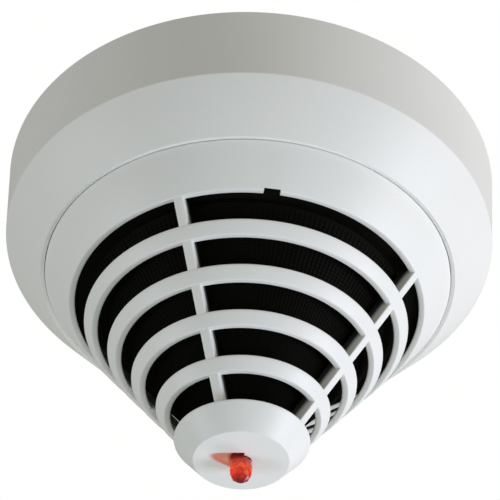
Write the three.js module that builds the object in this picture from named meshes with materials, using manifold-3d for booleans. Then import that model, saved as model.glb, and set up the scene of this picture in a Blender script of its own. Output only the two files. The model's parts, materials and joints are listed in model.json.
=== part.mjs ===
// Ceiling heat detector: a surface-mount base, and a conical louvred head that twists and pulls out
// of it. Millimetres. The origin is the centre of the flat face that lies on the ceiling. +Z points
// into the ceiling, so the detector hangs down into negative z. The front of the detector faces -Y.
import * as THREE from "three";
import { mergeVertices } from "three/addons/utils/BufferGeometryUtils.js";
import Module from "manifold-3d";

const wasm = await Module();
wasm.setup();

// ---- Driving dimensions ----
const GAP = 0.3; // air left between pieces that touch
const FINE = 60; // sides of a large turned piece
const MEDIUM = 36;
const SMALL = 16;

const WALL_TOP_RADIUS = 61.4; // base wall where it meets the ceiling
const WALL_LOW_RADIUS = 60.1; // base wall at its lower edge
const WALL_LOW_Z = -19.2; // where the wall starts to round over into the underside
const BACK_PLATE = 2.5; // thickness of the base's back plate
const CABLE_HOLE_RADIUS = 11;

const CONE_SLOPE = 1.285; // drop of the cone per millimetre of radius
const SEAM_RADIUS = 49.35; // where the head's cone meets the base
const SEAM_Z = -30.8;
const SKIRT_RADIUS = 49.7; // inner wall of the base, around the head's rim

const RING_COUNT = 4; // louvre rings between the band and the tip
const RING_PITCH = 7.95; // height from one ring to the next
const RING_FACE = 2.93; // height of a ring's sloping outer face
const RING_DEPTH = 1.67; // width of a ring's lower face
const RING_RISE = 0.34; // how far that face climbs inwards
const FIRST_RING_Z = -44.3; // upper edge of the first ring
const RIB_ANGLES = [-22.5, 67.5, 157.5, 247.5]; // from the front, towards +X
const RIB_WIDTH = 2.3;
const RIB_DEPTH = 4.7; // from the cone's surface inwards
const NOTCH_ANGLE = 6.5; // removal tool's notch in the band's lower edge
const NOTCH_TOP = -39.15;
const NOTCH_WIDTH = 3.8;

const TIP_EDGE_RADIUS = 15.7; // upper edge of the solid tip
const TIP_EDGE_Z = -76.9;
const TIP_FACE_RADIUS = 10.9; // flat end of the tip
const TIP_FACE_Z = -82.5;
const LENS_RADIUS = 2.6;
const LENS_SHOULDER_Z = -85.7; // below this the lens tapers in facets
const LENS_BOTTOM_Z = -88;
const LIGHT_PIPE_RADIUS = 2.2;
const GLOW_GROOVE_ANGLE = -76; // shallow groove that catches the lens's light

const SOCKET_RADIUS = 43.5; // contact carrier screwed into the base
const SOCKET_TOP = -2.8;
const SOCKET_BOTTOM = -5;
const BAYONET_WALL_RADIUS = 39.2;
const BAYONET_WALL_BOTTOM = -21;
const LUG_ANGLES = [30, 150, 270];
const LUG_HALF_ANGLE = 9;
const LUG_TOP = -15.5;
const LUG_BOTTOM = -17.5;
const LOCK_TURN = 22; // degrees from release to locked
const LEDGE_TOP = -18;
const LEDGE_BOTTOM = -20;

const DRUM_RADIUS = 35.5; // raised middle of the head's chassis
const DRUM_TOP = -14;
const DRUM_PLATE = 1.8;
const FLANGE_RADIUS = 46.9;
const FLANGE_TOP = -24;
const FLANGE_BOTTOM = -26;
const CHASSIS_SCREW_RADIUS = 42;
const CHASSIS_SCREW_ANGLES = [90, 210, 330];

const TERMINAL_X = 24.5; // from the centre to each terminal block
const TERMINAL_PITCH = 10;
const TERMINAL_TOP = SOCKET_BOTTOM - GAP;
const TERMINAL_BOTTOM = -11.5;
const CONTACT_RADIUS = 15.5; // where the springs meet the head's contacts
const CONTACT_ANGLES = [-32, 0, 32, 148, 180, 212];

const DIAL_XS = [-11, 0, 11];
const DIAL_Y = 24;
const DIAL_RADIUS = 3.2;
const BOARD_RADIUS = 37.5;
const BOARD_TOP = -32;
const BOARD_BOTTOM = -33.6;
const SCREEN_INSET = 5.2; // from the cone's surface to the insect screen
const SCREEN_WALL = 1;
const SCREEN_TOP = BOARD_BOTTOM - 0.4;

// ---- Materials ----
const material = (color, roughness, metalness = 0) =>
  new THREE.MeshStandardMaterial({ color, roughness, metalness });
const whitePlastic = material(0xe4e7e6, 0.5);
const carrierPlastic = material(0xd2d5d4, 0.55);
const blackPlastic = material(0x121211, 0.65);
const terminalPlastic = material(0x5f6a66, 0.6);
const steel = material(0xb9bcbf, 0.35, 1);
const springBrass = material(0xc9a45c, 0.35, 1);
const boardGreen = material(0x1f5c3a, 0.6);
const chipBlack = material(0x18181a, 0.5);
const dialOrange = material(0xd98b3a, 0.5);
const redLens = material(0xd63a1e, 0.15);
const sealRubber = material(0x2c2d2e, 0.8);
const thermistorGlass = material(0x2a1c18, 0.3);
const labelSilver = material(0xc7cacb, 0.4);

// ---- Geometry helpers ----
const degrees = (angle) => THREE.MathUtils.degToRad(angle);
const coneRadius = (z) => SEAM_RADIUS - (SEAM_Z - z) / CONE_SLOPE;

// A closed geometry as a manifold-3d solid whose faces point out.
function solid(geometry) {
  const loose = geometry.index ? geometry.toNonIndexed() : geometry;
  const bare = new THREE.BufferGeometry();
  bare.setAttribute("position", loose.getAttribute("position"));
  const merged = mergeVertices(bare, 1e-4);
  const corners = merged.index.array;
  const kept = [];
  for (let i = 0; i < corners.length; i += 3) {
    const [a, b, c] = [corners[i], corners[i + 1], corners[i + 2]];
    if (a !== b && b !== c && c !== a) kept.push(a, b, c);
  }
  const build = (triVerts) =>
    new wasm.Manifold(
      new wasm.Mesh({
        numProp: 3,
        vertProperties: merged.attributes.position.array,
        triVerts: new Uint32Array(triVerts),
      }),
    );
  const made = build(kept);
  return made.volume() > 0 ? made : build(kept.reverse());
}

function geometryOf(body) {
  const mesh = body.getMesh();
  const geometry = new THREE.BufferGeometry();
  const positions = new Float32Array(mesh.numVert * 3);
  for (let i = 0; i < mesh.numVert; i++) {
    const start = i * mesh.numProp;
    positions.set(mesh.vertProperties.subarray(start, start + 3), i * 3);
  }
  geometry.setAttribute("position", new THREE.BufferAttribute(positions, 3));
  geometry.setIndex(new THREE.BufferAttribute(mesh.triVerts, 1));
  geometry.computeVertexNormals();
  return geometry;
}

const joined = (...bodies) => bodies.reduce((sum, body) => sum.add(body));
const cut = (body, ...tools) => tools.reduce((rest, tool) => rest.subtract(tool), body);

// A solid turned about the Z axis. Each point is [radius, z]; a profile off the axis closes on itself.
function turned(points, sides = FINE) {
  const closed = points[0][0] === 0 ? points : [...points, points[0]];
  const profile = closed.map(([r, z]) => new THREE.Vector2(r, z));
  return solid(new THREE.LatheGeometry(profile, sides).rotateX(Math.PI / 2));
}

const rod = (radius, z0, z1, sides = SMALL) =>
  turned([[0, z0], [radius, z0], [radius, z1], [0, z1]], sides);
const tube = (inner, outer, z0, z1, sides = FINE) =>
  turned([[inner, z0], [outer, z0], [outer, z1], [inner, z1]], sides);

function slab(shape, z0, z1, sides = 8) {
  const depth = Math.abs(z1 - z0);
  const settings = { depth, bevelEnabled: false, curveSegments: sides };
  const geometry = new THREE.ExtrudeGeometry(shape, settings);
  return solid(geometry.translate(0, 0, Math.min(z0, z1)));
}

// Part of a ring between two angles, in degrees from +X.
function sector(inner, outer, from, to, z0, z1) {
  const shape = new THREE.Shape();
  shape.absarc(0, 0, outer, degrees(from), degrees(to), false);
  shape.absarc(0, 0, inner, degrees(to), degrees(from), true);
  return slab(shape, z0, z1, 5);
}

function block(width, depth, z0, z1, x = 0, y = 0) {
  const box = new THREE.BoxGeometry(width, depth, Math.abs(z1 - z0));
  return solid(box.translate(x, y, (z0 + z1) / 2));
}

// An obround hole tool, long along X.
function slot(width, length, z0, z1, x, y) {
  const shape = new THREE.Shape();
  const half = (length - width) / 2;
  shape.absarc(x + half, y, width / 2, -Math.PI / 2, Math.PI / 2, false);
  shape.absarc(x - half, y, width / 2, Math.PI / 2, (3 * Math.PI) / 2, false);
  return slab(shape, z0, z1, 6);
}

// A plate standing in the plane of the axis: points are [radius, z], at an angle from +X.
function fin(points, width, angle) {
  const shape = new THREE.Shape(points.map(([r, z]) => new THREE.Vector2(r, z)));
  const geometry = new THREE.ExtrudeGeometry(shape, { depth: width, bevelEnabled: false });
  geometry.translate(0, 0, -width / 2).rotateX(Math.PI / 2);
  return solid(geometry).rotate([0, 0, angle]);
}

const fromFront = (angle) => angle - 90; // an angle from the front, as an angle from +X
const polar = (radius, angle) => [radius * Math.cos(degrees(angle)), radius * Math.sin(degrees(angle))];
const at = (body, x, y, z = 0) => body.translate([x, y, z]);

const detector = new THREE.Group();
function add(name, look, body) {
  const mesh = new THREE.Mesh(geometryOf(body), look);
  mesh.name = name;
  detector.add(mesh);
}

// ---- Base: shell that lies on the ceiling ----
const MOUNT_SLOT_Y = 28;
const SOCKET_SCREW_XS = [-34, 34]; // two screws hold the contact carrier in the shell

function baseHousing() {
  const cornerRadius = 1;
  const corner = [];
  for (let step = 0; step <= 4; step++) {
    const turn = degrees(step * 11.5);
    corner.push([
      WALL_LOW_RADIUS - cornerRadius + cornerRadius * Math.cos(turn),
      WALL_LOW_Z - cornerRadius * Math.sin(turn),
    ]);
  }
  const shell = turned([
    [0, 0],
    [WALL_TOP_RADIUS, 0],
    ...corner,
    [SKIRT_RADIUS + 0.8, SEAM_Z + 0.45],
    [SKIRT_RADIUS, SEAM_Z + 0.65],
    [SKIRT_RADIUS, -12],
    [SKIRT_RADIUS + 1.7, -12],
    [SKIRT_RADIUS + 1.7, -27],
    [56.6, -20.4],
    [57.9, -17.6],
    [58.7, -BACK_PLATE],
    [0, -BACK_PLATE],
  ]);
  const through = [1, -BACK_PLATE - 1];
  return cut(
    shell,
    rod(CABLE_HOLE_RADIUS, ...through, MEDIUM),
    slot(4.6, 10, ...through, 0, MOUNT_SLOT_Y),
    slot(4.6, 10, ...through, 0, -MOUNT_SLOT_Y),
    ...SOCKET_SCREW_XS.map((x) => at(rod(1.6, -0.5, -BACK_PLATE - 1, 12), x, 0)),
  );
}

// Carrier with the bayonet wall: each ledge holds a lug of the head up once the head is turned.
function baseSocket() {
  const wallTop = SOCKET_BOTTOM + 0.5;
  const bayonet = tube(BAYONET_WALL_RADIUS, BAYONET_WALL_RADIUS + 2, wallTop, BAYONET_WALL_BOTTOM);
  const inner = DRUM_RADIUS + 0.5;
  const outer = BAYONET_WALL_RADIUS + 0.4;
  const ledges = LUG_ANGLES.flatMap((angle) => {
    const locked = angle + LOCK_TURN;
    const stop = locked + LUG_HALF_ANGLE + 1.5;
    return [
      sector(inner, outer, locked - LUG_HALF_ANGLE, stop + 2, LEDGE_BOTTOM, LEDGE_TOP),
      sector(inner, outer, stop, stop + 2, LEDGE_TOP - 0.5, LUG_TOP + 1),
    ];
  });
  const plate = rod(SOCKET_RADIUS, SOCKET_BOTTOM, SOCKET_TOP, FINE);
  const tools = [
    rod(CABLE_HOLE_RADIUS, 0, -7, MEDIUM),
    slot(4.6, 10, 0, -7, 0, MOUNT_SLOT_Y),
    slot(4.6, 10, 0, -7, 0, -MOUNT_SLOT_Y),
    ...SOCKET_SCREW_XS.map((x) => at(rod(1.7, 0, -7, 12), x, 0)),
  ];
  return cut(joined(plate, bayonet, ...ledges), ...tools);
}

// A pan-head screw whose slotted head faces down.
function screw(headRadius, headZ, headHeight, shaftRadius, tipZ) {
  const downwards = tipZ < headZ;
  const headEnd = downwards ? headZ + headHeight : headZ - headHeight;
  const head = rod(headRadius, headZ, headEnd);
  const shaft = rod(shaftRadius, headZ + (downwards ? 0.2 : -0.2), tipZ, 12);
  const groove = block(headRadius * 2.4, 0.7, headEnd, headEnd + (downwards ? -0.7 : 0.7));
  return cut(joined(head, shaft), groove);
}

function terminalBlock(side) {
  const width = 11;
  const length = TERMINAL_PITCH * 3 - 1;
  const x = side * TERMINAL_X;
  const body = block(width, length, TERMINAL_TOP, TERMINAL_BOTTOM, x, 0);
  const tools = [-1, 0, 1].flatMap((place) => {
    const y = place * TERMINAL_PITCH;
    const portX = x + side * (width / 2 - 1);
    const wirePort = block(4, 4.4, TERMINAL_TOP - 1, TERMINAL_BOTTOM + 1.2, portX, y);
    const screwWell = at(rod(1.9, TERMINAL_TOP - 1, TERMINAL_BOTTOM - 1, 12), x - side, y);
    return [wirePort, screwWell];
  });
  return cut(body, ...tools);
}

// A leaf spring from its terminal block in to the contact circle, sitting where the locked head's
// contact is.
function contactSpring(angle) {
  const tip = CONTACT_RADIUS - 2.2;
  const thickness = 0.5;
  const line = [
    [CONTACT_RADIUS + 3, -9.4],
    [CONTACT_RADIUS + 1.6, -11.4],
    [CONTACT_RADIUS, -12.1],
    [tip, -11.2],
  ];
  const lower = [[CONTACT_RADIUS + 3.2, -9.6], ...line.slice(1).map(([r, z]) => [r, z - thickness])];
  const foot = [[CONTACT_RADIUS + 3.2, TERMINAL_TOP], [CONTACT_RADIUS + 2.5, TERMINAL_TOP]];
  const outline = [...foot, ...line.map(([r, z]) => [r - 0.5, z]), ...lower.reverse()];
  return fin(outline, 3, angle + LOCK_TURN);
}

add("base_housing", whitePlastic, baseHousing());
add("base_socket", carrierPlastic, baseSocket());
SOCKET_SCREW_XS.forEach((x, i) => {
  add(`socket_screw_${i + 1}`, steel, at(screw(2.6, SOCKET_BOTTOM - GAP, 1.4, 1.3, -0.9), x, 0));
});
[-1, 1].forEach((side, i) => {
  add(`terminal_block_${i + 1}`, terminalPlastic, terminalBlock(side));
  [-1, 0, 1].forEach((place, j) => {
    const body = screw(2.4, TERMINAL_BOTTOM - GAP, 1.3, 1.4, TERMINAL_TOP - 1.6);
    const name = `terminal_screw_${i * 3 + j + 1}`;
    add(name, steel, at(body, side * (TERMINAL_X - 1), place * TERMINAL_PITCH));
  });
});
CONTACT_ANGLES.forEach((angle, i) => add(`contact_spring_${i + 1}`, springBrass, contactSpring(angle)));

// ---- Seal between the base and the head ----
add("seal_ring", sealRubber, tube(46.9, 49.2, -21.6, -20.2));

// ---- Head: louvred cover ----
const ringEdge = (k) => {
  const z = FIRST_RING_Z - k * RING_PITCH;
  return [coneRadius(z), z];
};

function louvreRing(k) {
  const [r, z] = ringEdge(k);
  const low = [r - RING_FACE / CONE_SLOPE, z - RING_FACE];
  const inwards = ([x, y]) => [x - RING_DEPTH, y + RING_RISE];
  return turned([[r, z], low, inwards(low), inwards([r, z])]);
}

function coverBand() {
  const lowZ = FIRST_RING_Z - RING_FACE + RING_PITCH;
  const low = [coneRadius(lowZ), lowZ];
  return turned([
    [47.2, -21.9],
    [49, -21.9],
    [SEAM_RADIUS, SEAM_Z + 0.6],
    [SEAM_RADIUS - 0.4, SEAM_Z - 0.3],
    low,
    [low[0] - RING_DEPTH, low[1] + RING_RISE],
    [46.2, SEAM_Z - 1.6],
    [47.2, SEAM_Z],
  ]);
}

function coverTip() {
  const shell = turned(
    [
      [0, TIP_FACE_Z],
      [TIP_FACE_RADIUS - 0.6, TIP_FACE_Z],
      [TIP_FACE_RADIUS, TIP_FACE_Z + 0.35],
      [TIP_EDGE_RADIUS, TIP_EDGE_Z],
      [TIP_EDGE_RADIUS - RING_DEPTH, TIP_EDGE_Z + RING_RISE],
      [TIP_FACE_RADIUS - 1.6, TIP_FACE_Z + 2.2],
      [0, TIP_FACE_Z + 2.2],
    ],
    MEDIUM,
  );
  const length = 18.8;
  const groove = new THREE.ConeGeometry(4.1, length, SMALL).rotateZ(-Math.PI / 2);
  groove.translate(length / 2, 0, TIP_FACE_Z - 2.4);
  const turnedGroove = solid(groove).rotate([0, 0, fromFront(GLOW_GROOVE_ANGLE)]);
  return cut(shell, rod(LENS_RADIUS + GAP, TIP_FACE_Z - 2, TIP_FACE_Z + 4), turnedGroove);
}

function coverRib(angle) {
  const inset = 0.12; // the ribs sit just under the rings' outer faces
  const topZ = FIRST_RING_Z - RING_FACE + RING_PITCH + 1.2;
  const bottomZ = TIP_EDGE_Z - 2.8;
  const edge = (z, depth) => [coneRadius(z) - depth, z];
  const points = [
    edge(topZ, inset),
    edge(topZ, RIB_DEPTH),
    edge(bottomZ, RIB_DEPTH),
    edge(bottomZ, inset),
  ];
  return fin(points, RIB_WIDTH, fromFront(angle));
}

// Posts that take the chassis screws, kept inside the cone and above the insect screen's flange.
const POST_BOTTOM = -35.6;
function screwPosts() {
  const inside = turned([
    [0, -24], [48, -24], [48, SEAM_Z], [coneRadius(-39) - 0.6, -39], [0, -39],
  ]);
  return CHASSIS_SCREW_ANGLES.map((angle) => {
    const [x, y] = polar(CHASSIS_SCREW_RADIUS, angle);
    const post = at(rod(3.2, FLANGE_BOTTOM - GAP, POST_BOTTOM), x, y);
    const hole = at(rod(1.5, FLANGE_BOTTOM, -34.6, 12), x, y);
    return cut(post.intersect(inside), hole);
  });
}

// Tool for the notch: its roof climbs inwards, so that a blade slides up behind the band.
function notch() {
  const roof = NOTCH_TOP + 2.8;
  const outline = [
    [39, -41],
    [45.5, -41],
    [45.5, NOTCH_TOP],
    [43.3, NOTCH_TOP],
    [40.8, roof],
    [39, roof],
  ];
  return fin(outline, NOTCH_WIDTH, fromFront(NOTCH_ANGLE));
}

function cover() {
  const rings = Array.from({ length: RING_COUNT }, (_, k) => louvreRing(k));
  const shell = joined(coverBand(), ...rings, coverTip(), ...RIB_ANGLES.map(coverRib), ...screwPosts());
  return cut(shell, notch());
}

// ---- Head: chassis with bayonet lugs ----
function chassis() {
  const drum = turned([
    [0, DRUM_TOP],
    [DRUM_RADIUS, DRUM_TOP],
    [DRUM_RADIUS, FLANGE_TOP],
    [FLANGE_RADIUS, FLANGE_TOP],
    [FLANGE_RADIUS, FLANGE_BOTTOM],
    [DRUM_RADIUS - 1.9, FLANGE_BOTTOM],
    [DRUM_RADIUS - 1.9, DRUM_TOP - DRUM_PLATE],
    [0, DRUM_TOP - DRUM_PLATE],
  ]);
  const lugs = LUG_ANGLES.map((angle) => {
    const start = angle - LUG_HALF_ANGLE;
    const end = angle + LUG_HALF_ANGLE;
    return sector(DRUM_RADIUS - 1, DRUM_RADIUS + 3.1, start, end, LUG_BOTTOM, LUG_TOP);
  });
  const posts = CHASSIS_SCREW_ANGLES.map((angle) => {
    const [x, y] = polar(DRUM_RADIUS + 0.3, angle + 60);
    return at(rod(1.9, FLANGE_BOTTOM + 0.5, BOARD_TOP + GAP, 12), x, y);
  });
  const screwHoles = CHASSIS_SCREW_ANGLES.map((angle) =>
    at(rod(1.6, FLANGE_TOP + 1, FLANGE_BOTTOM - 1, 12), ...polar(CHASSIS_SCREW_RADIUS, angle)),
  );
  const windows = DIAL_XS.map((x) => at(rod(DIAL_RADIUS + 0.7, DRUM_TOP + 1, DRUM_TOP - 3), x, DIAL_Y));
  return cut(joined(drum, ...lugs, ...posts), ...screwHoles, ...windows);
}

// A contact blade on the drum: it turns under its spring when the head locks.
function headContact(angle) {
  const blade = block(5.6, 4, DRUM_TOP + GAP, DRUM_TOP + 1, CONTACT_RADIUS, 0);
  return blade.rotate([0, 0, angle]);
}

add("cover", whitePlastic, cover());
add("chassis", carrierPlastic, chassis());
CHASSIS_SCREW_ANGLES.forEach((angle, i) => {
  const body = screw(2.6, FLANGE_TOP + GAP, 1.5, 1.2, -33.6);
  add(`chassis_screw_${i + 1}`, steel, at(body, ...polar(CHASSIS_SCREW_RADIUS, angle)));
});
CONTACT_ANGLES.forEach((angle, i) => add(`head_contact_${i + 1}`, springBrass, headContact(angle)));

// ---- Head: address switches, one board behind the drum ----
const SWITCH_TOP = DRUM_TOP - DRUM_PLATE - GAP;
const SWITCH_BOTTOM = SWITCH_TOP - 3.4;
const DIAL_TOP = DRUM_TOP - 0.4;

function addressSwitch() {
  const body = block(9.4, 9.4, SWITCH_TOP, SWITCH_BOTTOM);
  return cut(body, rod(DIAL_RADIUS + GAP, SWITCH_TOP + 1, SWITCH_TOP - 1.6));
}

function addressDial() {
  const body = rod(DIAL_RADIUS, SWITCH_TOP - 1.3, DIAL_TOP, 20);
  const groove = block(DIAL_RADIUS * 1.5, 0.9, DIAL_TOP + 0.2, DIAL_TOP - 0.9);
  const pointer = block(1.2, 1.6, DIAL_TOP + 0.2, DIAL_TOP - 0.5, DIAL_RADIUS - 0.6, 0);
  return cut(body, groove, pointer);
}

DIAL_XS.forEach((x, i) => {
  add(`address_switch_${i + 1}`, chipBlack, at(addressSwitch(), x, DIAL_Y));
  add(`address_dial_${i + 1}`, dialOrange, at(addressDial(), x, DIAL_Y));
});
add("address_board", boardGreen, block(33, 13, SWITCH_BOTTOM - GAP, SWITCH_BOTTOM - GAP - 1.6, 0, 22));

// ---- Head: main board and what it carries ----
const mainBoard = cut(
  rod(BOARD_RADIUS, BOARD_TOP, BOARD_BOTTOM, FINE),
  at(rod(1.6, BOARD_TOP + 1, BOARD_BOTTOM - 1, 12), 0, 32),
);
add("main_board", boardGreen, mainBoard);

// Pins that join the two boards: a plastic strip with four legs.
const linkTop = SWITCH_BOTTOM - GAP * 2 - 1.6;
const linkPins = [-1.5, -0.5, 0.5, 1.5].map((place) =>
  block(0.7, 0.7, linkTop, BOARD_TOP + GAP, place * 2.54, 18),
);
add("board_link", blackPlastic, joined(block(10.6, 2.6, -27, -29.4, 0, 18), ...linkPins));

add("processor_chip", chipBlack, block(10, 10, BOARD_TOP + GAP, BOARD_TOP + 1.7, -14, -10));
add("amplifier_chip", chipBlack, block(5, 6.2, BOARD_TOP + GAP, BOARD_TOP + 1.8, 12, -14));
add("protection_diode", chipBlack, block(4.6, 2.8, BOARD_TOP + GAP, BOARD_TOP + 2.4, 20, 6));
add("buffer_capacitor", steel, at(rod(4, BOARD_TOP + GAP, -24.5, 20), 6, -24));
add("current_resistor", chipBlack, block(3.2, 1.6, BOARD_TOP + GAP, BOARD_TOP + 1, -22, 8));
add("led_emitter", redLens, block(3, 3, BOARD_BOTTOM - GAP, BOARD_BOTTOM - 1.6));

// Red light pipe from the emitter to the faceted lens at the tip.
function lightPipe() {
  return turned(
    [
      [0, BOARD_BOTTOM - 2],
      [LIGHT_PIPE_RADIUS, BOARD_BOTTOM - 2],
      [LIGHT_PIPE_RADIUS, TIP_FACE_Z + 3],
      [LENS_RADIUS, TIP_FACE_Z + 2],
      [LENS_RADIUS, LENS_SHOULDER_Z],
      [LENS_RADIUS * 0.77, LENS_SHOULDER_Z - 1.4],
      [LENS_RADIUS * 0.31, LENS_BOTTOM_Z],
      [0, LENS_BOTTOM_Z],
    ],
    SMALL,
  );
}
add("light_pipe", redLens, lightPipe());

// Black screen that keeps insects out and lets warm air through, just behind the louvres. Its flange
// closes the space above the first louvre.
const SCREEN_BOTTOM = -76;
const SCREEN_FLANGE_RADIUS = 41.9;
const SCREEN_FLANGE_TOP = -36;
function insectScreen() {
  const outer = (z) => coneRadius(z) - SCREEN_INSET;
  const inner = (z) => outer(z) - SCREEN_WALL;
  const shoulder = -38.5;
  return turned(
    [
      [outer(shoulder), SCREEN_TOP],
      [outer(shoulder), SCREEN_FLANGE_TOP],
      [SCREEN_FLANGE_RADIUS, SCREEN_FLANGE_TOP],
      [SCREEN_FLANGE_RADIUS, SCREEN_FLANGE_TOP - 1.2],
      [outer(shoulder), SCREEN_FLANGE_TOP - 1.2],
      [outer(shoulder), shoulder],
      [outer(SCREEN_BOTTOM), SCREEN_BOTTOM],
      [LIGHT_PIPE_RADIUS + GAP, SCREEN_BOTTOM],
      [LIGHT_PIPE_RADIUS + GAP, SCREEN_BOTTOM + 1],
      [inner(SCREEN_BOTTOM + 1), SCREEN_BOTTOM + 1],
      [inner(shoulder), shoulder],
      [inner(shoulder), SCREEN_TOP],
    ],
    FINE,
  );
}
add("insect_screen", blackPlastic, insectScreen());

const HOLDER_BOTTOM = SCREEN_BOTTOM + 1 + GAP;
const sensorHolder = tube(LIGHT_PIPE_RADIUS + GAP, 4.2, BOARD_BOTTOM - GAP, HOLDER_BOTTOM, SMALL);
add("sensor_holder", blackPlastic, sensorHolder);

// Thermistor bead on two leads, low in the cone where the warm air arrives first.
const BEAD_X = 7.2;
const BEAD_Z = -69.5;
const bead = new THREE.SphereGeometry(1.5, 12, 8).translate(BEAD_X, 0, BEAD_Z);
add("thermistor_bead", thermistorGlass, solid(bead));
[-0.8, 0.8].forEach((y, i) => {
  const lead = at(rod(0.4, BOARD_BOTTOM - GAP, BEAD_Z + 1.8, 8), BEAD_X, y);
  add(`thermistor_lead_${i + 1}`, steel, lead);
});

// Blank rating label on the drum.
add("rating_label", labelSilver, block(24, 12, DRUM_TOP + GAP, DRUM_TOP + 0.6, 0, -24));

export default detector;
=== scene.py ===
"""Ceiling heat detector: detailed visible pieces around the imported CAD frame.

Lengths are millimetres, and MM turns them into Blender's metres.
"""

import json
import math

import bmesh
import bpy
from mathutils import Matrix, Vector

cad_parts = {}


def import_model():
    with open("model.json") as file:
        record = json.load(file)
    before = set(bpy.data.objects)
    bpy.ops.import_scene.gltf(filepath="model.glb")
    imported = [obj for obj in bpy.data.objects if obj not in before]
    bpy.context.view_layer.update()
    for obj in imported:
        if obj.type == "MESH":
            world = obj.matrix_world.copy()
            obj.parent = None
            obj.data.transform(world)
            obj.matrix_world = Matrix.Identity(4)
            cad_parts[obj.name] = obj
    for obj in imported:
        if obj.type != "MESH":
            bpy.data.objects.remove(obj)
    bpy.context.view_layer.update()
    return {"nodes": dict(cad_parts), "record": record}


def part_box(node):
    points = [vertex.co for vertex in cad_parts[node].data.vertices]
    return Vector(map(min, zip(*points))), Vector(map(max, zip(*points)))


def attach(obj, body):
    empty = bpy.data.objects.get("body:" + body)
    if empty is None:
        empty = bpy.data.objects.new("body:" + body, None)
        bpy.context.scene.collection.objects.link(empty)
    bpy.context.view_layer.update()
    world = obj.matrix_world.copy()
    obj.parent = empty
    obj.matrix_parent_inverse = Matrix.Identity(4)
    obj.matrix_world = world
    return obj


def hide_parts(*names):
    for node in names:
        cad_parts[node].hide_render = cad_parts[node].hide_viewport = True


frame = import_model()

MM = 0.001

# ---- The object's sizes: the CAD's, apart from the base's lip, the lens's neck and its lowest point ----
CONE_SLOPE = 1.285
SEAM_RADIUS, SEAM_Z = 49.35, -30.8
SKIRT_RADIUS, SKIRT_THICKNESS = 49.7, 1.7
SKIRT_TOP_Z, SKIRT_FOOT_Z = -12.0, -27.0
LIP_RADIUS = 49.5  # the base's lower lip, a hair from the cover
WALL_TOP_RADIUS, WALL_LOW_RADIUS, WALL_LOW_Z = 61.4, 60.1, -19.2
BACK_PLATE = 2.5
CABLE_HOLE_RADIUS = 11.0
MOUNT_SLOT_Y = 28.0
SOCKET_SCREW_XS = (-34.0, 34.0)
RING_COUNT, RING_PITCH, RING_FACE = 4, 7.95, 2.93
RING_DEPTH, RING_RISE = 1.67, 0.34
FIRST_RING_Z = -44.3
BAND_LOW_Z = FIRST_RING_Z - RING_FACE + RING_PITCH
BAND_TOP_Z = -21.9
RIB_ANGLES = (-22.5, 67.5, 157.5, 247.5)
RIB_WIDTH, RIB_DEPTH = 2.3, 4.7
RIB_BRIGHT_DEPTH, RIB_DARK_DEPTH = 1.8, 3.1  # painted shade: behind the louvres, a rib's colour darkens from one depth to the other
NOTCH_ANGLE, NOTCH_TOP, NOTCH_WIDTH = 6.5, -39.15, 3.8
TIP_EDGE_RADIUS, TIP_EDGE_Z = 15.7, -76.9
TIP_FACE_RADIUS, TIP_FACE_Z = 10.9, -82.5
LENS_RADIUS, LENS_SHOULDER_Z, LENS_BOTTOM_Z = 2.6, -85.7, -87.98
LIGHT_PIPE_RADIUS = 2.2
LENS_NECK_RADIUS = 2.3  # where the lens passes through the tip
GLOW_GROOVE_ANGLE = -76.0
GLOW_REACH, GLOW_DEPTH = 8.2, 0.25  # the painted glow of the lens ends at this radius, and is full at this depth
SCREEN_INSET, SCREEN_BOTTOM = 5.2, -76.0
SCREEN_FLANGE_RADIUS, SCREEN_FLANGE_TOP, SCREEN_FLANGE_LOW = 41.9, -36.0, -37.2
POST_ANGLES = (90.0, 210.0, 330.0)
POST_RADIUS = 42.0
LUG_ANGLES = (30.0, 150.0, 270.0)
LUG_HALF_ANGLE, LOCK_TURN = 9.0, 22.0
CHASSIS_FLANGE_TOP, CHASSIS_FLANGE_LOW = -24.0, -26.0

ROUND = 256  # sides of a large turned piece
WHITE_TONES = ((0.80, 0.815, 0.81), (0.835, 0.845, 0.84))
WHITE_ROUGHNESS = 0.42
BLACK_TONES = ((0.0038, 0.004, 0.0024), (0.0052, 0.0054, 0.0034))


def cone_radius(z):
    return SEAM_RADIUS - (SEAM_Z - z) / CONE_SLOPE


# ---- Materials ----
def new_material(name):
    material = bpy.data.materials.new(name)
    material.use_nodes = True
    return material, material.node_tree, material.node_tree.nodes["Principled BSDF"]


def add_node(tree, kind, **inputs):
    node = tree.nodes.new(kind)
    for key, value in inputs.items():
        node.inputs[key.replace("_", " ")].default_value = value
    return node


def noise_to(tree, scale, detail=3.0):
    """Object-space noise; an object's origin is the frame's, so the pattern stays on the piece."""
    coordinates = tree.nodes.new("ShaderNodeTexCoord")
    noise = add_node(tree, "ShaderNodeTexNoise", Scale=scale, Detail=detail)
    tree.links.new(coordinates.outputs["Object"], noise.inputs["Vector"])
    return noise.outputs["Fac"]


def colour_ramp(tree, fac, stops):
    """Colour along fac through (position, colour) stops."""
    ramp = tree.nodes.new("ShaderNodeValToRGB")
    elements = ramp.color_ramp.elements
    elements[0].position = stops[0][0]
    elements[-1].position = stops[-1][0]
    for position, _ in stops[1:-1]:
        elements.new(position)
    for element, (_, colour) in zip(elements, stops):
        element.color = (*colour, 1)
    tree.links.new(fac, ramp.inputs["Fac"])
    return ramp.outputs["Color"]


def ramp_between(tree, fac, low, high, start=0.3, end=0.7):
    return colour_ramp(tree, fac, [(start, low), (end, high)])


def remapped(tree, value, old=(0.0, 1.0), new=(0.0, 1.0)):
    """Value moved from the old range to the new one, and kept inside it."""
    spread = tree.nodes.new("ShaderNodeMapRange")
    for name, number in zip(("From Min", "From Max", "To Min", "To Max"), (*old, *new)):
        spread.inputs[name].default_value = number
    tree.links.new(value, spread.inputs["Value"])
    return spread.outputs["Result"]


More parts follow.
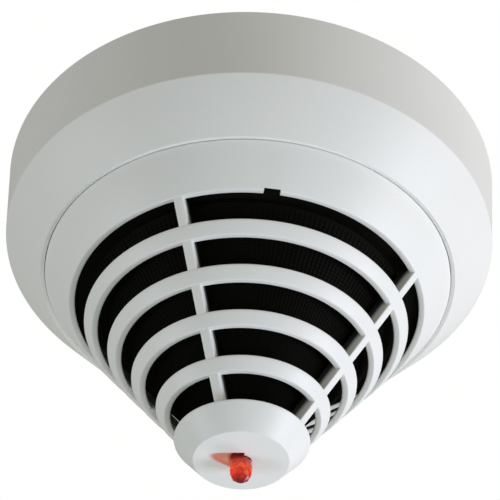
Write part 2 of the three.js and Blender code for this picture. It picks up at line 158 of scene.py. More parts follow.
def tinted(tree, factor, plain, tint):
    """The plain colour where factor is 0, and the tint's output where it is 1."""
    mix = tree.nodes.new("ShaderNodeMix")
    mix.data_type = "RGBA"
    mix.inputs["A"].default_value = (*plain, 1)
    tree.links.new(factor, mix.inputs["Factor"])
    tree.links.new(tint, mix.inputs["B"])
    return mix.outputs["Result"]


def moulded(name, low, high, rough, grain=2600.0, height=0.00002, specular=0.5):
    """Injection-moulded plastic: a slow drift of tone, and the fine spark-eroded grain of the tool."""
    material, tree, shader = new_material(name)
    drift = noise_to(tree, 28.0)
    fine = noise_to(tree, grain, 2.0)
    speckled = tree.nodes.new("ShaderNodeMath")
    speckled.operation = "MULTIPLY_ADD"
    speckled.inputs[1].default_value = 0.6
    tree.links.new(fine, speckled.inputs[0])
    tree.links.new(drift, speckled.inputs[2])
    tone = ramp_between(tree, speckled.outputs[0], low, high, 0.55, 1.05)
    tree.links.new(tone, shader.inputs["Base Color"])
    tree.links.new(remapped(tree, fine, new=(rough - 0.05, rough + 0.07)), shader.inputs["Roughness"])
    bump = add_node(tree, "ShaderNodeBump", Strength=0.35, Distance=height)
    tree.links.new(fine, bump.inputs["Height"])
    tree.links.new(bump.outputs["Normal"], shader.inputs["Normal"])
    shader.inputs["Specular IOR Level"].default_value = specular
    return material


def metal(name, low, high, rough):
    """Plated sheet or wire, with fine drawing marks in its gloss."""
    material, tree, shader = new_material(name)
    tone = noise_to(tree, 90.0)
    tree.links.new(ramp_between(tree, tone, low, high), shader.inputs["Base Color"])
    fine = noise_to(tree, 1800.0)
    tree.links.new(remapped(tree, fine, new=(rough - 0.08, rough + 0.12)), shader.inputs["Roughness"])
    shader.inputs["Metallic"].default_value = 1.0
    return material


WHITE = moulded("white_plastic", *WHITE_TONES, WHITE_ROUGHNESS)
BASE_WHITE = moulded("base_plastic", (0.79, 0.80, 0.79), (0.825, 0.83, 0.815), 0.45)
CARRIER = moulded("carrier_plastic", (0.66, 0.68, 0.67), (0.72, 0.735, 0.725), 0.5)
BLACK = moulded("black_plastic", *BLACK_TONES, 0.6, grain=1800.0, height=0.00004, specular=0.045)
TERMINAL = moulded("terminal_plastic", (0.075, 0.10, 0.09), (0.10, 0.13, 0.12), 0.5)
RUBBER = moulded("seal_rubber", (0.02, 0.02, 0.021), (0.035, 0.035, 0.036), 0.75)
CHIP = moulded("chip_epoxy", (0.012, 0.012, 0.013), (0.02, 0.02, 0.022), 0.45)
DIAL = moulded("dial_plastic", (0.62, 0.23, 0.045), (0.70, 0.28, 0.06), 0.4)
COAT = moulded("thermistor_coat", (0.03, 0.012, 0.008), (0.05, 0.02, 0.012), 0.25)
LABEL = moulded("label_film", (0.55, 0.56, 0.57), (0.62, 0.63, 0.64), 0.3)
STEEL = metal("zinc_steel", (0.56, 0.57, 0.58), (0.66, 0.665, 0.67), 0.3)
BRASS = metal("contact_brass", (0.62, 0.44, 0.17), (0.74, 0.54, 0.24), 0.3)


def board_material():
    """Green solder mask with faint copper tracks under it."""
    material, tree, shader = new_material("board_mask")
    coordinates = tree.nodes.new("ShaderNodeTexCoord")
    tracks = add_node(tree, "ShaderNodeTexVoronoi", Scale=260.0)
    tracks.distance = "CHEBYCHEV"
    tree.links.new(coordinates.outputs["Object"], tracks.inputs["Vector"])
    dark, light = (0.015, 0.09, 0.04), (0.02, 0.14, 0.06)
    colour = ramp_between(tree, tracks.outputs["Distance"], dark, light, 0.35, 0.42)
    tree.links.new(colour, shader.inputs["Base Color"])
    shader.inputs["Roughness"].default_value = 0.3
    return material


def axis_parts(tree):
    """Height z and distance from the Z axis of the shaded point, in metres."""
    coordinates = tree.nodes.new("ShaderNodeTexCoord")
    split = tree.nodes.new("ShaderNodeSeparateXYZ")
    tree.links.new(coordinates.outputs["Object"], split.inputs["Vector"])
    flat = tree.nodes.new("ShaderNodeVectorMath")
    flat.operation = "MULTIPLY"
    flat.inputs[1].default_value = (1, 1, 0)
    tree.links.new(coordinates.outputs["Object"], flat.inputs[0])
    reach = tree.nodes.new("ShaderNodeVectorMath")
    reach.operation = "LENGTH"
    tree.links.new(flat.outputs["Vector"], reach.inputs[0])
    return split.outputs["Z"], reach.outputs["Value"]


def lens_material():
    """Clear red plastic that glows a little, with painted shade: bright in the middle of its height, painted
    deep red at both ends, and painted sparkle.
    """
    material, tree, shader = new_material("red_lens")
    height, _ = axis_parts(tree)
    level = remapped(tree, height, (LENS_BOTTOM_Z * MM, TIP_FACE_Z * MM))
    # painted shade: the colour and the glow darken to deep red at both ends of the lens
    stops = [
        (0.0, (0.10, 0.006, 0.003)),
        (0.22, (0.55, 0.03, 0.012)),
        (0.5, (0.80, 0.085, 0.02)),
        (0.8, (0.62, 0.05, 0.02)),
        (1.0, (0.13, 0.006, 0.003)),
    ]
    # painted sparkle: noise makes patches of the lens's colour and glow brighter and darker
    streak = noise_to(tree, 900.0, 1.0)
    sparkle = ramp_between(tree, streak, (0.55, 0.5, 0.5), (1.0, 1.0, 1.0), 0.35, 0.62)
    mixed = tree.nodes.new("ShaderNodeMix")
    mixed.data_type = "RGBA"
    mixed.blend_type = "MULTIPLY"
    mixed.inputs["Factor"].default_value = 1.0
    tree.links.new(colour_ramp(tree, level, stops), mixed.inputs["A"])
    tree.links.new(sparkle, mixed.inputs["B"])
    tree.links.new(mixed.outputs["Result"], shader.inputs["Base Color"])
    tree.links.new(mixed.outputs["Result"], shader.inputs["Emission Color"])
    shader.inputs["Emission Strength"].default_value = 0.5
    shader.inputs["Roughness"].default_value = 0.08
    shader.inputs["IOR"].default_value = 1.49
    shader.inputs["Transmission Weight"].default_value = 0.7
    return material


def rib_material():
    """The ribs' white plastic with painted shade: darker the further in behind the louvres it is."""
    material = moulded("rib_plastic_painted_shade", *WHITE_TONES, WHITE_ROUGHNESS)
    tree = material.node_tree
    shader = tree.nodes["Principled BSDF"]
    plain = shader.inputs["Base Color"].links[0].from_socket
    height, reach = axis_parts(tree)

    surface = tree.nodes.new("ShaderNodeMath")
    surface.operation = "MULTIPLY_ADD"
    surface.inputs[1].default_value = 1 / CONE_SLOPE
    surface.inputs[2].default_value = (SEAM_RADIUS - SEAM_Z / CONE_SLOPE) * MM
    tree.links.new(height, surface.inputs[0])
    depth = tree.nodes.new("ShaderNodeMath")
    depth.operation = "SUBTRACT"
    tree.links.new(surface.outputs[0], depth.inputs[0])
    tree.links.new(reach, depth.inputs[1])
    depths = (RIB_BRIGHT_DEPTH * MM, RIB_DARK_DEPTH * MM)
    # painted shade: deeper in than the cone's surface, the rib's colour goes to near black
    shade = remapped(tree, depth.outputs[0], depths, (1.0, 0.0))
    tree.links.new(tinted(tree, shade, (0.03, 0.032, 0.03), plain), shader.inputs["Base Color"])
    return material


def groove_painted_glow_material():
    """Painted light on the groove's floor by the lens: the lens's red glow painted on the plastic, pale pink
    beside it, then red, and white at its edges and end.
    """
    material, tree, shader = new_material("groove_painted_glow")
    height, reach = axis_parts(tree)
    along = remapped(tree, reach, (LENS_RADIUS * MM, GLOW_REACH * MM))
    # painted glow: the lens's red light painted on the groove, changing with distance from the lens
    stops = [
        (0.0, (0.85, 0.22, 0.14)),
        (0.12, (0.95, 0.50, 0.34)),
        (0.3, (0.82, 0.33, 0.24)),
        (0.6, (0.70, 0.26, 0.19)),
        (0.88, (0.70, 0.40, 0.31)),
        (1.0, (0.80, 0.74, 0.71)),
    ]
    sunk = remapped(tree, height, (TIP_FACE_Z * MM, (TIP_FACE_Z + GLOW_DEPTH) * MM))
    glow = tinted(tree, sunk, (0.82, 0.80, 0.79), colour_ramp(tree, along, stops))
    tree.links.new(glow, shader.inputs["Base Color"])
    shader.inputs["Roughness"].default_value = 0.4
    return material


BOARD = board_material()
LENS = lens_material()
RIB_PAINTED_SHADE = rib_material()
GROOVE_PAINTED_GLOW = groove_painted_glow_material()


# ---- Mesh helpers ----
def make_object(name, mesh, material=None):
    piece = bpy.data.objects.new(name, mesh)
    bpy.context.scene.collection.objects.link(piece)
    piece.data.materials.clear()
    if material:
        piece.data.materials.append(material)
    return piece


def mesh_of(name, points, faces):
    mesh = bpy.data.meshes.new(name)
    mesh.from_pydata([Vector(p) * MM for p in points], [], faces)
    mesh.validate()
    outward = bmesh.new()
    outward.from_mesh(mesh)
    bmesh.ops.recalc_face_normals(outward, faces=outward.faces)
    outward.to_mesh(mesh)
    outward.free()
    return mesh


def circle(radius, z, sides, offset=0.0):
    """Points round the Z axis. An offset of 0.5 turns them by half a step."""
    turns = [2 * math.pi * (i + offset) / sides for i in range(sides)]
    return [(radius * math.cos(turn), radius * math.sin(turn), z) for turn in turns]


def lathe(name, profile, material, sides=ROUND):
    """A solid turned about Z from (radius, z) points, from axis to axis or closed on themselves."""
    points, rows = [], []
    for r, z in profile:
        row = circle(r, z, sides) if r > 0 else [(0, 0, z)]
        rows.append(range(len(points), len(points) + len(row)))
        points += row
    pairs = list(zip(rows, rows[1:]))
    on_axis = len(rows[0]) == 1
    if not on_axis:
        pairs.append((rows[-1], rows[0]))
    faces = []
    for a, b in pairs:
        for i in range(sides):
            j = (i + 1) % sides
            if len(a) == 1:
                faces.append((a[0], b[i], b[j]))
            elif len(b) == 1:
                faces.append((a[i], b[0], a[j]))
            else:
                faces.append((a[i], b[i], b[j], a[j]))
    return make_object(name, mesh_of(name, points, faces), material)


def rounded(profile, radii, steps=4, closed=True):
    """The profile with each corner that has a radius replaced by a curve close to an arc."""
    result = []
    count = len(profile)
    for i, corner in enumerate(profile):
        radius = radii[i] if isinstance(radii, (list, tuple)) else radii
        at_end = not closed and i in (0, count - 1)
        if radius <= 0 or at_end:
            result.append(tuple(corner))
            continue
        here = Vector(corner)
        before = Vector(profile[i - 1]) - here
        after = Vector(profile[(i + 1) % count]) - here
        angle = before.angle(after)
        reach = min(radius / math.tan(angle / 2), 0.45 * before.length, 0.45 * after.length)
        start = here + before.normalized() * reach
        end = here + after.normalized() * reach
        for k in range(steps + 1):
            t = k / steps
            point = start * (1 - t) ** 2 + here * 2 * t * (1 - t) + end * t**2
            result.append((point.x, point.y))
    return result


def slab(name, near, far, material):
    """A solid between two outlines that have the same number of points."""
    count = len(near)
    faces = [tuple(range(count)), tuple(range(2 * count - 1, count - 1, -1))]
    faces += [(i, (i + 1) % count, count + (i + 1) % count, count + i) for i in range(count)]
    return make_object(name, mesh_of(name, near + far, faces), material)


def prism(name, outline, width, material=None):
    """A plate whose outline is (x, z) points, centred on y = 0."""
    near = [(x, -width / 2, z) for x, z in outline]
    far = [(x, width / 2, z) for x, z in outline]
    return slab(name, near, far, material)


def upright_prism(name, outline, z0, z1, material=None):
    """A plate whose outline is (x, y) points."""
    return slab(name, [(x, y, z0) for x, y in outline], [(x, y, z1) for x, y in outline], material)


def bar_outline(half_width, z0, z1):
    """Rectangle centred on x = 0, as (x, z) points."""
    return [(-half_width, z0), (half_width, z0), (half_width, z1), (-half_width, z1)]


def apply_modifiers(piece):
    evaluated = piece.evaluated_get(bpy.context.evaluated_depsgraph_get())
    mesh = bpy.data.meshes.new_from_object(evaluated)
    old = piece.data
    piece.modifiers.clear()
    piece.data = mesh
    bpy.data.meshes.remove(old)
    return piece


def bevelled(piece, width, segments=2, angle=35.0):
    bevel = piece.modifiers.new("bevel", "BEVEL")
    bevel.width = width * MM
    bevel.segments = segments
    bevel.limit_method = "ANGLE"
    bevel.angle_limit = math.radians(angle)
    return apply_modifiers(piece)


def boolean(piece, operation, tools):
    """Joins or cuts with each tool in turn, then removes it. A tool with no material takes the piece's."""
    for tool in tools:
        if not tool.data.materials:
            tool.data.materials.append(piece.data.materials[0])
        step = piece.modifiers.new("step", "BOOLEAN")
        step.operation = operation
        step.object = tool
        step.solver = "EXACT"
        step.material_mode = "TRANSFER"
        apply_modifiers(piece)
        bpy.data.objects.remove(tool)
    return without_slivers(piece)


def without_slivers(piece):
    """Merges points that a cut left microns apart, and drops the empty faces between them."""
    shape = bmesh.new()
    shape.from_mesh(piece.data)
    bmesh.ops.remove_doubles(shape, verts=shape.verts, dist=0.005 * MM)
    bmesh.ops.dissolve_degenerate(shape, edges=shape.edges, dist=0.001 * MM)
    shape.to_mesh(piece.data)
    shape.free()
    return piece


def turned_about_z(piece, degrees):
    piece.data.transform(Matrix.Rotation(math.radians(degrees), 4, "Z"))
    return piece


def moved(piece, x=0.0, y=0.0, z=0.0):
    piece.data.transform(Matrix.Translation(Vector((x, y, z)) * MM))
    return piece


def smooth(piece, angle=30.0):
    piece.data.polygons.foreach_set("use_smooth", [True] * len(piece.data.polygons))
    piece.data.set_sharp_from_angle(angle=math.radians(angle))
    return piece


def rod(name, radius, z0, z1, sides=48, material=None):
    return lathe(name, [(0, z0), (radius, z0), (radius, z1), (0, z1)], material, sides)


def drill(radius, z0, z1, sides, x, y=0.0):
    """Tool for a round hole, turned so that no side lies along a piece's own facets."""
    return moved(turned_about_z(rod("tool", radius, z0, z1, sides), 5.3), x, y)


def polar(radius, degrees):
    return radius * math.cos(math.radians(degrees)), radius * math.sin(math.radians(degrees))


def from_front(degrees):
    """Angle from +X of a direction given from the front, -Y."""
    return degrees - 90.0


def arc(start, end, steps):
    """Angles in radians, evenly spaced between two in degrees."""
    return [math.radians(start + (end - start) * i / steps) for i in range(steps + 1)]


def sector(name, inner, outer, start, end, z0, z1, material):
    """Part of a ring between two angles from +X, in degrees."""
    steps = 12
    outline = [(outer * math.cos(a), outer * math.sin(a)) for a in arc(start, end, steps)]
    outline += [(inner * math.cos(a), inner * math.sin(a)) for a in arc(end, start, steps)]
    return upright_prism(name, outline, z0, z1, material)


# ---- Base ----
def slot_tool(y):
    """Tool for the slot of a ceiling screw, with round ends."""
    reach, radius = 2.7, 2.3
    outline = [(reach + radius * math.cos(a), y + radius * math.sin(a)) for a in arc(-90, 90, 12)]
    outline += [(-reach + radius * math.cos(a), y + radius * math.sin(a)) for a in arc(90, 270, 12)]
    return upright_prism("tool", outline, 1, -8)


def base_housing():
    skirt_outer = SKIRT_RADIUS + SKIRT_THICKNESS
    profile = [
        (0, 0),
        (WALL_TOP_RADIUS - 0.3, 0),
        (WALL_TOP_RADIUS, -0.3),
        (WALL_TOP_RADIUS - 0.02, -0.4),
        (WALL_LOW_RADIUS - 0.05, WALL_LOW_Z - 0.6),
        (LIP_RADIUS + 0.95, SEAM_Z + 0.45),
        (LIP_RADIUS, SEAM_Z + 0.7),
        (SKIRT_RADIUS, SKIRT_TOP_Z),
        (skirt_outer, SKIRT_TOP_Z),
        (skirt_outer, SKIRT_FOOT_Z),
        (56.6, -20.4),
        (57.9, -17.6),
        (58.7, -BACK_PLATE),
        (0, -BACK_PLATE),
    ]
    radii = [0, 0.2, 0.2, 0, 0.6, 0.15, 0.1, 0.3, 0.3, 0.5, 1, 1, 0.5, 0]
    piece = lathe("base_shell", rounded(profile, radii, 5, closed=False), BASE_WHITE)
    tools = [rod("tool", CABLE_HOLE_RADIUS, 1, -BACK_PLATE - 1, 96)]
    tools += [slot_tool(y) for y in (-MOUNT_SLOT_Y, MOUNT_SLOT_Y)]
    tools += [drill(1.6, -0.5, -BACK_PLATE - 1, 24, x) for x in SOCKET_SCREW_XS]
    return smooth(boolean(piece, "DIFFERENCE", tools))


# ---- Cover ----
def louvre_ring(k):
    z = FIRST_RING_Z - k * RING_PITCH
    r = cone_radius(z)
    low = (r - RING_FACE / CONE_SLOPE, z - RING_FACE)
    profile = [
        (r, z),
        low,
        (low[0] - RING_DEPTH, low[1] + RING_RISE),
        (r - RING_DEPTH, z + RING_RISE),
    ]
    return lathe(f"ring_{k}", rounded(profile, [0.4, 0.45, 0.35, 0.35]), WHITE)


def cover_band():
    low = (cone_radius(BAND_LOW_Z), BAND_LOW_Z)
    inner, outer = 47.2, 49.0
    profile = [
        (inner, BAND_TOP_Z),
        (outer, BAND_TOP_Z),
        (SEAM_RADIUS, SEAM_Z + 0.5),
        low,
        (low[0] - RING_DEPTH, low[1] + RING_RISE),
        (46.2, SEAM_Z - 1.6),
        (inner, SEAM_Z),
    ]
    return lathe("louvred_cover", rounded(profile, [0.3, 0.3, 0.2, 0.45, 0.35, 0.5, 0.5]), WHITE)


def cover_tip():
    inside_z = TIP_FACE_Z + 2.2
    profile = [
        (0, TIP_FACE_Z),
        (TIP_FACE_RADIUS, TIP_FACE_Z),
        (TIP_EDGE_RADIUS, TIP_EDGE_Z),
        (TIP_EDGE_RADIUS - RING_DEPTH, TIP_EDGE_Z + RING_RISE),
        (TIP_FACE_RADIUS - 1.6, inside_z),
        (0, inside_z),
    ]
    tip = lathe("tip", rounded(profile, [0, 0.5, 0.4, 0.35, 0.3, 0], 5, closed=False), WHITE)
    # the lens hole's wall takes the painted glow too
    hole = rod("tool", LENS_NECK_RADIUS + 0.08, TIP_FACE_Z - 2, TIP_FACE_Z + 4, 64, GROOVE_PAINTED_GLOW)
    return boolean(tip, "DIFFERENCE", [hole, glow_groove()])


def glow_groove():
    """Tool for the shallow tapered groove that runs out from the lens hole."""
    length, radius, sides = 18.8, 4.1, 64
    points = [(length, 0, 0)]
    points += [(0, y, z) for y, z, _ in circle(radius, 0, sides)]
    faces = [(0, i + 1, (i + 1) % sides + 1) for i in range(sides)]
    faces.append(tuple(range(sides, 0, -1)))
    tool = make_object("tool", mesh_of("tool", points, faces), GROOVE_PAINTED_GLOW)
    return turned_about_z(moved(tool, 0, 0, TIP_FACE_Z - 2.4), from_front(GLOW_GROOVE_ANGLE))


def cover_rib(angle):
    inset = 0.12
    top_z = BAND_LOW_Z + 1.2
    bottom_z = TIP_EDGE_Z - 2.8
    outline = [
        (cone_radius(top_z) - inset, top_z),
        (cone_radius(top_z) - RIB_DEPTH, top_z),
        (cone_radius(bottom_z) - RIB_DEPTH, bottom_z),
        (cone_radius(bottom_z) - inset, bottom_z),
    ]
    rib = bevelled(prism("rib", outline, RIB_WIDTH, RIB_PAINTED_SHADE), 0.25)
    return turned_about_z(rib, from_front(angle))


def screw_post(angle):
    """Post for a chassis screw, kept inside the cover's wall."""
    x, y = polar(POST_RADIUS, angle)
    post = moved(rod("post", 3.2, -26.3, -35.6, 40, WHITE), x, y)
    profile = [(0, -24), (48, -24), (48, SEAM_Z), (cone_radius(-39) - 0.6, -39), (0, -39)]
    boolean(post, "INTERSECT", [lathe("inside", profile, WHITE, 128)])
    return boolean(post, "DIFFERENCE", [drill(1.5, -26, -34.6, 24, x, y)])


def cover():
    shell = cover_band()
    rings = [louvre_ring(k) for k in range(RING_COUNT)]
    tip = cover_tip()
    ribs = [cover_rib(angle) for angle in RIB_ANGLES]
    posts = [screw_post(angle) for angle in POST_ANGLES]
    boolean(shell, "UNION", ribs + posts + rings + [tip])
    foot, roof = -41, NOTCH_TOP + 2.8
    outline = [(39, foot), (45.5, foot), (45.5, NOTCH_TOP), (43.3, NOTCH_TOP), (40.8, roof), (39, roof)]
    notch = turned_about_z(prism("tool", outline, NOTCH_WIDTH), from_front(NOTCH_ANGLE))
    boolean(shell, "DIFFERENCE", [notch])
    return smooth(shell)


# ---- Lens ----
def light_pipe():
    """Rod up to the emitter, and a lens whose rings of facets are each half a step from the next."""
    facets = 10
    rings = [
        (LIGHT_PIPE_RADIUS, -35.6),
        (LIGHT_PIPE_RADIUS, TIP_FACE_Z + 3),
        (LENS_NECK_RADIUS, TIP_FACE_Z + 2),
        (LENS_NECK_RADIUS, TIP_FACE_Z - 0.1),
        (LENS_RADIUS, -84.0),
        (LENS_RADIUS - 0.02, LENS_SHOULDER_Z),
        (LENS_RADIUS * 0.77, -87.1),
        (LENS_RADIUS * 0.31, LENS_BOTTOM_Z + 0.03),
    ]
    points = [(0, 0, rings[0][1])]
    for row, (r, z) in enumerate(rings):
        points += circle(r, z, facets, 0.5 * (row % 2))
    points.append((0, 0, LENS_BOTTOM_Z))
    faces = []
    last = 1 + (len(rings) - 1) * facets
    for i in range(facets):
        faces.append((0, 1 + i, 1 + (i + 1) % facets))
        faces.append((len(points) - 1, last + i, last + (i + 1) % facets))
    for row in range(len(rings) - 1):
        start = 1 + row * facets
        below = start + facets
        for i in range(facets):
            j = (i + 1) % facets
            if row % 2 == 0:
                faces.append((start + i, start + j, below + i))
                faces.append((start + j, below + i, below + j))
            else:
                faces.append((start + i, below + i, below + j))
                faces.append((start + i, start + j, below + j))
    return make_object("light_pipe_lens", mesh_of("light_pipe_lens", points, faces), LENS)


# ---- Insect screen ----
def screen_body():
    def outer(z):
        return cone_radius(z) - SCREEN_INSET - 0.35

    top, shoulder = -34.0, -38.5
    wall, floor_thickness = 0.6, 0.8
    hole = LIGHT_PIPE_RADIUS + 0.3
    profile = [
        (outer(shoulder), top),
        (outer(shoulder), SCREEN_FLANGE_TOP),
        (SCREEN_FLANGE_RADIUS, SCREEN_FLANGE_TOP),
        (SCREEN_FLANGE_RADIUS, SCREEN_FLANGE_LOW),
        (outer(shoulder), SCREEN_FLANGE_LOW),
        (outer(shoulder), shoulder),
        (outer(SCREEN_BOTTOM), SCREEN_BOTTOM),
        (hole, SCREEN_BOTTOM),
        (hole, SCREEN_BOTTOM + floor_thickness),
        (outer(SCREEN_BOTTOM + 1) - wall, SCREEN_BOTTOM + floor_thickness),
        (outer(shoulder) - wall, shoulder),
        (outer(shoulder) - wall, top),
    ]
    return lathe("insect_mesh", profile, BLACK, 192)


def screen_wires():
    """Woven mesh over the cone: a wire grid whose cells stay close to square down the cone."""
    rows, columns = 56, 190
    top, bottom = -38.9, -75.6
    points, faces = [], []
    for i in range(rows + 1):
        z = top + (bottom - top) * i / rows
        points += circle(cone_radius(z) - SCREEN_INSET - 0.2, z, columns)
    for i in range(rows):
        for j in range(columns):
            k = (j + 1) % columns
            faces.append((i * columns + j, i * columns + k, (i + 1) * columns + k, (i + 1) * columns + j))
    grid = make_object("insect_wires", mesh_of("insect_wires", points, faces), BLACK)
    wire = grid.modifiers.new("wire", "WIREFRAME")
    wire.thickness = 0.18 * MM
    wire.use_even_offset = False
    return apply_modifiers(grid)


def seal_ring():
    profile = [(46.9, -21.6), (49.2, -21.6), (49.2, -20.2), (46.9, -20.2)]
    return smooth(lathe("seal_ring_rubber", rounded(profile, 0.45), RUBBER))


# ---- Contact carrier, seen when the head is off ----
def base_socket():
    plate = [(0, -5), (43.5, -5), (43.5, -2.8), (0, -2.8)]
    carrier = lathe("contact_carrier", rounded(plate, [0, 0.4, 0.4, 0], 4, closed=False), CARRIER, 192)
    wall = [(39.2, -4.5), (41.2, -4.5), (41.2, -21), (39.2, -21)]
    parts = [lathe("wall", rounded(wall, [0, 0, 0.5, 0.5]), CARRIER, 192)]
    for angle in LUG_ANGLES:
        locked = angle + LOCK_TURN
        stop = locked + LUG_HALF_ANGLE + 1.5
        ledge = sector("ledge", 36.0, 39.6, locked - LUG_HALF_ANGLE, stop + 2, -20, -18, CARRIER)
        parts.append(bevelled(ledge, 0.25))
        parts.append(bevelled(sector("stop", 36.15, 39.5, stop, stop + 1.8, -18.5, -14.5, CARRIER), 0.2))
    boolean(carrier, "UNION", parts)
    tools = [rod("tool", CABLE_HOLE_RADIUS, 0, -7, 96)]
    tools += [slot_tool(y) for y in (-MOUNT_SLOT_Y, MOUNT_SLOT_Y)]
    tools += [drill(1.7, 0, -7, 32, x) for x in SOCKET_SCREW_XS]
    return smooth(boolean(carrier, "DIFFERENCE", tools))


def chassis():
    drum = [
        (0, -14),
        (35.5, -14),
        (35.5, CHASSIS_FLANGE_TOP),
        (46.9, CHASSIS_FLANGE_TOP),
        (46.9, CHASSIS_FLANGE_LOW),
        (33.6, CHASSIS_FLANGE_LOW),
        (33.6, -15.8),
        (0, -15.8),
    ]
    radii = [0, 0.7, 0.5, 0.4, 0.4, 0.4, 0.5, 0]
    body = lathe("chassis_drum", rounded(drum, radii, 4, closed=False), CARRIER, 192)
    parts = []
    for angle in LUG_ANGLES:
        lug = sector("lug", 34.5, 38.6, angle - LUG_HALF_ANGLE, angle + LUG_HALF_ANGLE, -17.5, -15.5, CARRIER)
        parts.append(bevelled(lug, 0.3))
    for angle in POST_ANGLES:
        parts.append(moved(rod("post", 1.9, -25.5, -31.7, 32, CARRIER), *polar(35.8, angle + 60)))
    boolean(body, "UNION", parts)
    tools = [drill(1.6, -23, -27, 32, *polar(POST_RADIUS, angle)) for angle in POST_ANGLES]
    tools += [drill(3.9, -13, -17, 48, *dial_centre(i)) for i in (1, 2, 3)]
    return smooth(boolean(body, "DIFFERENCE", tools))


def dial_centre(i):
    low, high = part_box(f"address_dial_{i}")
    return (low.x + high.x) / 2 / MM, (low.y + high.y) / 2 / MM


# ---- Small parts, rebuilt rounder in the place of their CAD nodes ----
def pan_screw(node, shaft_radius, head_height, head_down):
    """Domed, slotted screw in its CAD node's box."""
    low, high = (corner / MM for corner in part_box(node))
    radius = (high.x - low.x) / 2
    head, tip, sign = (low.z, high.z, 1) if head_down else (high.z, low.z, -1)
    profile = [
        (0, head),
        (radius * 0.55, head + sign * 0.06),
        (radius * 0.9, head + sign * 0.35),
        (radius, head + sign * 0.75),
        (radius, head + sign * head_height),
        (shaft_radius, head + sign * head_height),
    ]
    pitch, thread_depth = 0.5, 0.18
    z = head + sign * (head_height + 0.3)
    while sign * (tip - z) > pitch:
        profile += [(shaft_radius, z), (shaft_radius - thread_depth, z + sign * pitch / 2)]
        z += sign * pitch
    profile += [(shaft_radius * 0.8, tip), (0, tip)]
    screw = lathe(node + "_turned", profile, STEEL, 40)
    slot_width, slot_depth, clear = 0.7, 0.7, 1
    slot_ends = (head - clear, head + slot_depth) if head_down else (head - slot_depth, head + clear)
    boolean(screw, "DIFFERENCE", [prism("tool", bar_outline(4, *slot_ends), slot_width)])
    return smooth(moved(screw, (low.x + high.x) / 2, (low.y + high.y) / 2))


def softened(node, width, material, segments=2):
    """The CAD node's own shape with its edges rounded over."""
    source = frame["nodes"][node].data
    shape = bmesh.new()
    shape.from_mesh(source)
    bmesh.ops.remove_doubles(shape, verts=shape.verts, dist=0.00001)
    bmesh.ops.dissolve_limit(shape, angle_limit=math.radians(1), verts=shape.verts, edges=shape.edges)
    mesh = bpy.data.meshes.new(node + "_soft")
    shape.to_mesh(mesh)
    shape.free()
    piece = make_object(node + "_soft", mesh, material)
    return smooth(bevelled(piece, width, segments, 25.0))


def address_dial(i):
    """Dial with a screwdriver slot and a pale pointer mark."""
    low, high = (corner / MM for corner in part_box(f"address_dial_{i}"))
    radius, clear = 3.2, high.z + 1
    profile = [(0, low.z), (radius, low.z), (radius, high.z), (0, high.z)]
    dial = lathe(f"dial_{i}", rounded(profile, [0, 0.15, 0.35, 0], 4, closed=False), DIAL, 64)
    groove = prism("tool", bar_outline(2.4, high.z - 0.9, clear), 0.9)
    pointer = moved(prism("tool", bar_outline(0.6, high.z - 0.5, clear), 1.6, WHITE), 2.6)
    boolean(dial, "DIFFERENCE", [groove, pointer])
    return smooth(moved(dial, *dial_centre(i)))


# ---- Pieces, each on its CAD body ----
def place(piece, body, slot, *nodes):
    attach(piece, body)
    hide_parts(*nodes)


place(base_housing(), "base", "white_plastic", "base_housing")
place(cover(), "head", "white_plastic", "cover")
place(light_pipe(), "head", "red_lens", "light_pipe")
place(smooth(screen_body()), "head", "black_plastic", "insect_screen")
place(smooth(screen_wires()), "head", "black_plastic", "insect_screen")
place(seal_ring(), "seal", "seal_rubber", "seal_ring")
place(base_socket(), "base", "carrier_plastic", "base_socket")
place(chassis(), "head", "carrier_plastic", "chassis")
for i in (1, 2):
    place(pan_screw(f"socket_screw_{i}", 1.3, 1.4, True), "base", "steel", f"socket_screw_{i}")
    block = softened(f"terminal_block_{i}", 0.3, TERMINAL)
    place(block, "base", "terminal_plastic", f"terminal_block_{i}")
for i in (1, 2, 3):
    place(pan_screw(f"chassis_screw_{i}", 1.2, 1.5, False), "head", "steel", f"chassis_screw_{i}")
    place(softened(f"address_switch_{i}", 0.25, CHIP), "head", "chip_black", f"address_switch_{i}")
    place(address_dial(i), f"dial_{i}", "dial_orange", f"address_dial_{i}")
for i in range(1, 7):
    place(pan_screw(f"terminal_screw_{i}", 1.4, 1.3, True), "base", "steel", f"terminal_screw_{i}")
    spring = softened(f"contact_spring_{i}", 0.08, BRASS)
    place(spring, "base", "contact_brass", f"contact_spring_{i}")
    contact = softened(f"head_contact_{i}", 0.15, BRASS)
    place(contact, "head", "contact_brass", f"head_contact_{i}")
place(softened("rating_label", 0.06, LABEL), "head", "label_silver", "rating_label")

LOOKS = {
    "white_plastic": WHITE,
    "carrier_plastic": CARRIER,
    "black_plastic": BLACK,
    "terminal_plastic": TERMINAL,
    "steel": STEEL,
    "contact_brass": BRASS,
    "seal_rubber": RUBBER,
    "chip_black": CHIP,
    "dial_orange": DIAL,
    "board_green": BOARD,
    "red_lens": LENS,
    "thermistor_coat": COAT,
    "label_silver": LABEL,
}
for row in frame["record"]["subparts"]:
    node = frame["nodes"][row["node"]]
    for slot in node.material_slots:
        slot.material = LOOKS[row["material_slot"]]


# ---- Floor, light and camera ----
def floor():
    size, z = 4.0, -1.2
    mesh = bpy.data.meshes.new("floor")
    corners = [(-size, -size, z), (size, -size, z), (size, size, z), (-size, size, z)]
    mesh.from_pydata(corners, [], [(0, 1, 2, 3)])
    plain = moulded("floor_paint", (0.8, 0.8, 0.8), (0.82, 0.82, 0.82), 0.8, 40.0)
    make_object("floor", mesh, plain)


def area_light(name, position, energy, size, target=(0, 0, -0.04), colour=(1, 1, 1)):
    data = bpy.data.lights.new(name, "AREA")
    data.energy = energy
    data.size = size
    data.color = colour
    lamp = bpy.data.objects.new(name, data)
    lamp.location = position
    direction = Vector(target) - Vector(position)
    lamp.rotation_euler = direction.to_track_quat("-Z", "Y").to_euler()
    bpy.context.scene.collection.objects.link(lamp)


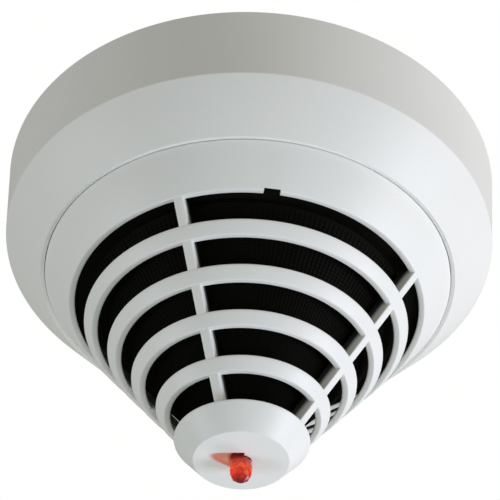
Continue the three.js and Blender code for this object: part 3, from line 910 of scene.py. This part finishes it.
def world():
    """White to the camera, and a dimmer, warmer light on the object."""
    scene_world = bpy.data.worlds.new("studio")
    bpy.context.scene.world = scene_world
    scene_world.use_nodes = True
    tree = scene_world.node_tree
    tree.nodes.clear()
    path = tree.nodes.new("ShaderNodeLightPath")
    fill = add_node(tree, "ShaderNodeBackground", Color=(1, 0.98, 0.83, 1), Strength=0.32)
    seen = add_node(tree, "ShaderNodeBackground", Color=(0.995, 1, 0.992, 1), Strength=1.0)
    mix = tree.nodes.new("ShaderNodeMixShader")
    output = tree.nodes.new("ShaderNodeOutputWorld")
    tree.links.new(path.outputs["Is Camera Ray"], mix.inputs["Fac"])
    tree.links.new(fill.outputs["Background"], mix.inputs[1])
    tree.links.new(seen.outputs["Background"], mix.inputs[2])
    tree.links.new(mix.outputs["Shader"], output.inputs["Surface"])


def camera():
    """Below and in front of the detector, looking up at it and rolled slightly."""
    place_y, place_z = -315.85 * MM, -312.21 * MM
    yaw, pitch, roll = (math.radians(a) for a in (0.06, 42.98, 1.985))
    forward = Vector((math.sin(yaw) * math.cos(pitch), math.cos(yaw) * math.cos(pitch), math.sin(pitch)))
    level = forward.cross(Vector((0, 0, 1))).normalized()
    upright = level.cross(forward)
    right = level * math.cos(roll) + upright * math.sin(roll)
    up = upright * math.cos(roll) - level * math.sin(roll)
    data = bpy.data.cameras.new("camera")
    data.sensor_width = 36.0
    data.lens = 124.87
    data.clip_start, data.clip_end = 0.01, 20.0
    eye = bpy.data.objects.new("camera", data)
    eye.matrix_world = Matrix(
        (
            (right.x, up.x, -forward.x, 0.0),
            (right.y, up.y, -forward.y, place_y),
            (right.z, up.z, -forward.z, place_z),
            (0, 0, 0, 1),
        )
    )
    bpy.context.scene.collection.objects.link(eye)
    bpy.context.scene.camera = eye


floor()
world()
area_light("key", (1.0, -0.2, -0.6), 8.4, 0.5, colour=(0.76, 0.84, 1.0))
area_light("key_spill", (1.1, -0.3, -0.1), 1.95, 0.5, colour=(1.0, 0.75, 0.52))
area_light("rim", (0.7, 0.7, -0.7), 3.6, 0.5, colour=(1.0, 0.91, 0.98))
area_light("fill", (-1.0, -0.2, -0.6), 3.75, 0.5, colour=(0.85, 0.89, 1.0))
area_light("floor_bounce", (0, 0.1, -1.15), 0.6, 0.5, colour=(0.6, 1.0, 0.7))
area_light("back_plate", (0.25, -0.2, 0.6), 0.6, 0.4, target=(0, 0, 0))
camera()
bpy.context.scene.view_settings.view_transform = "Standard"
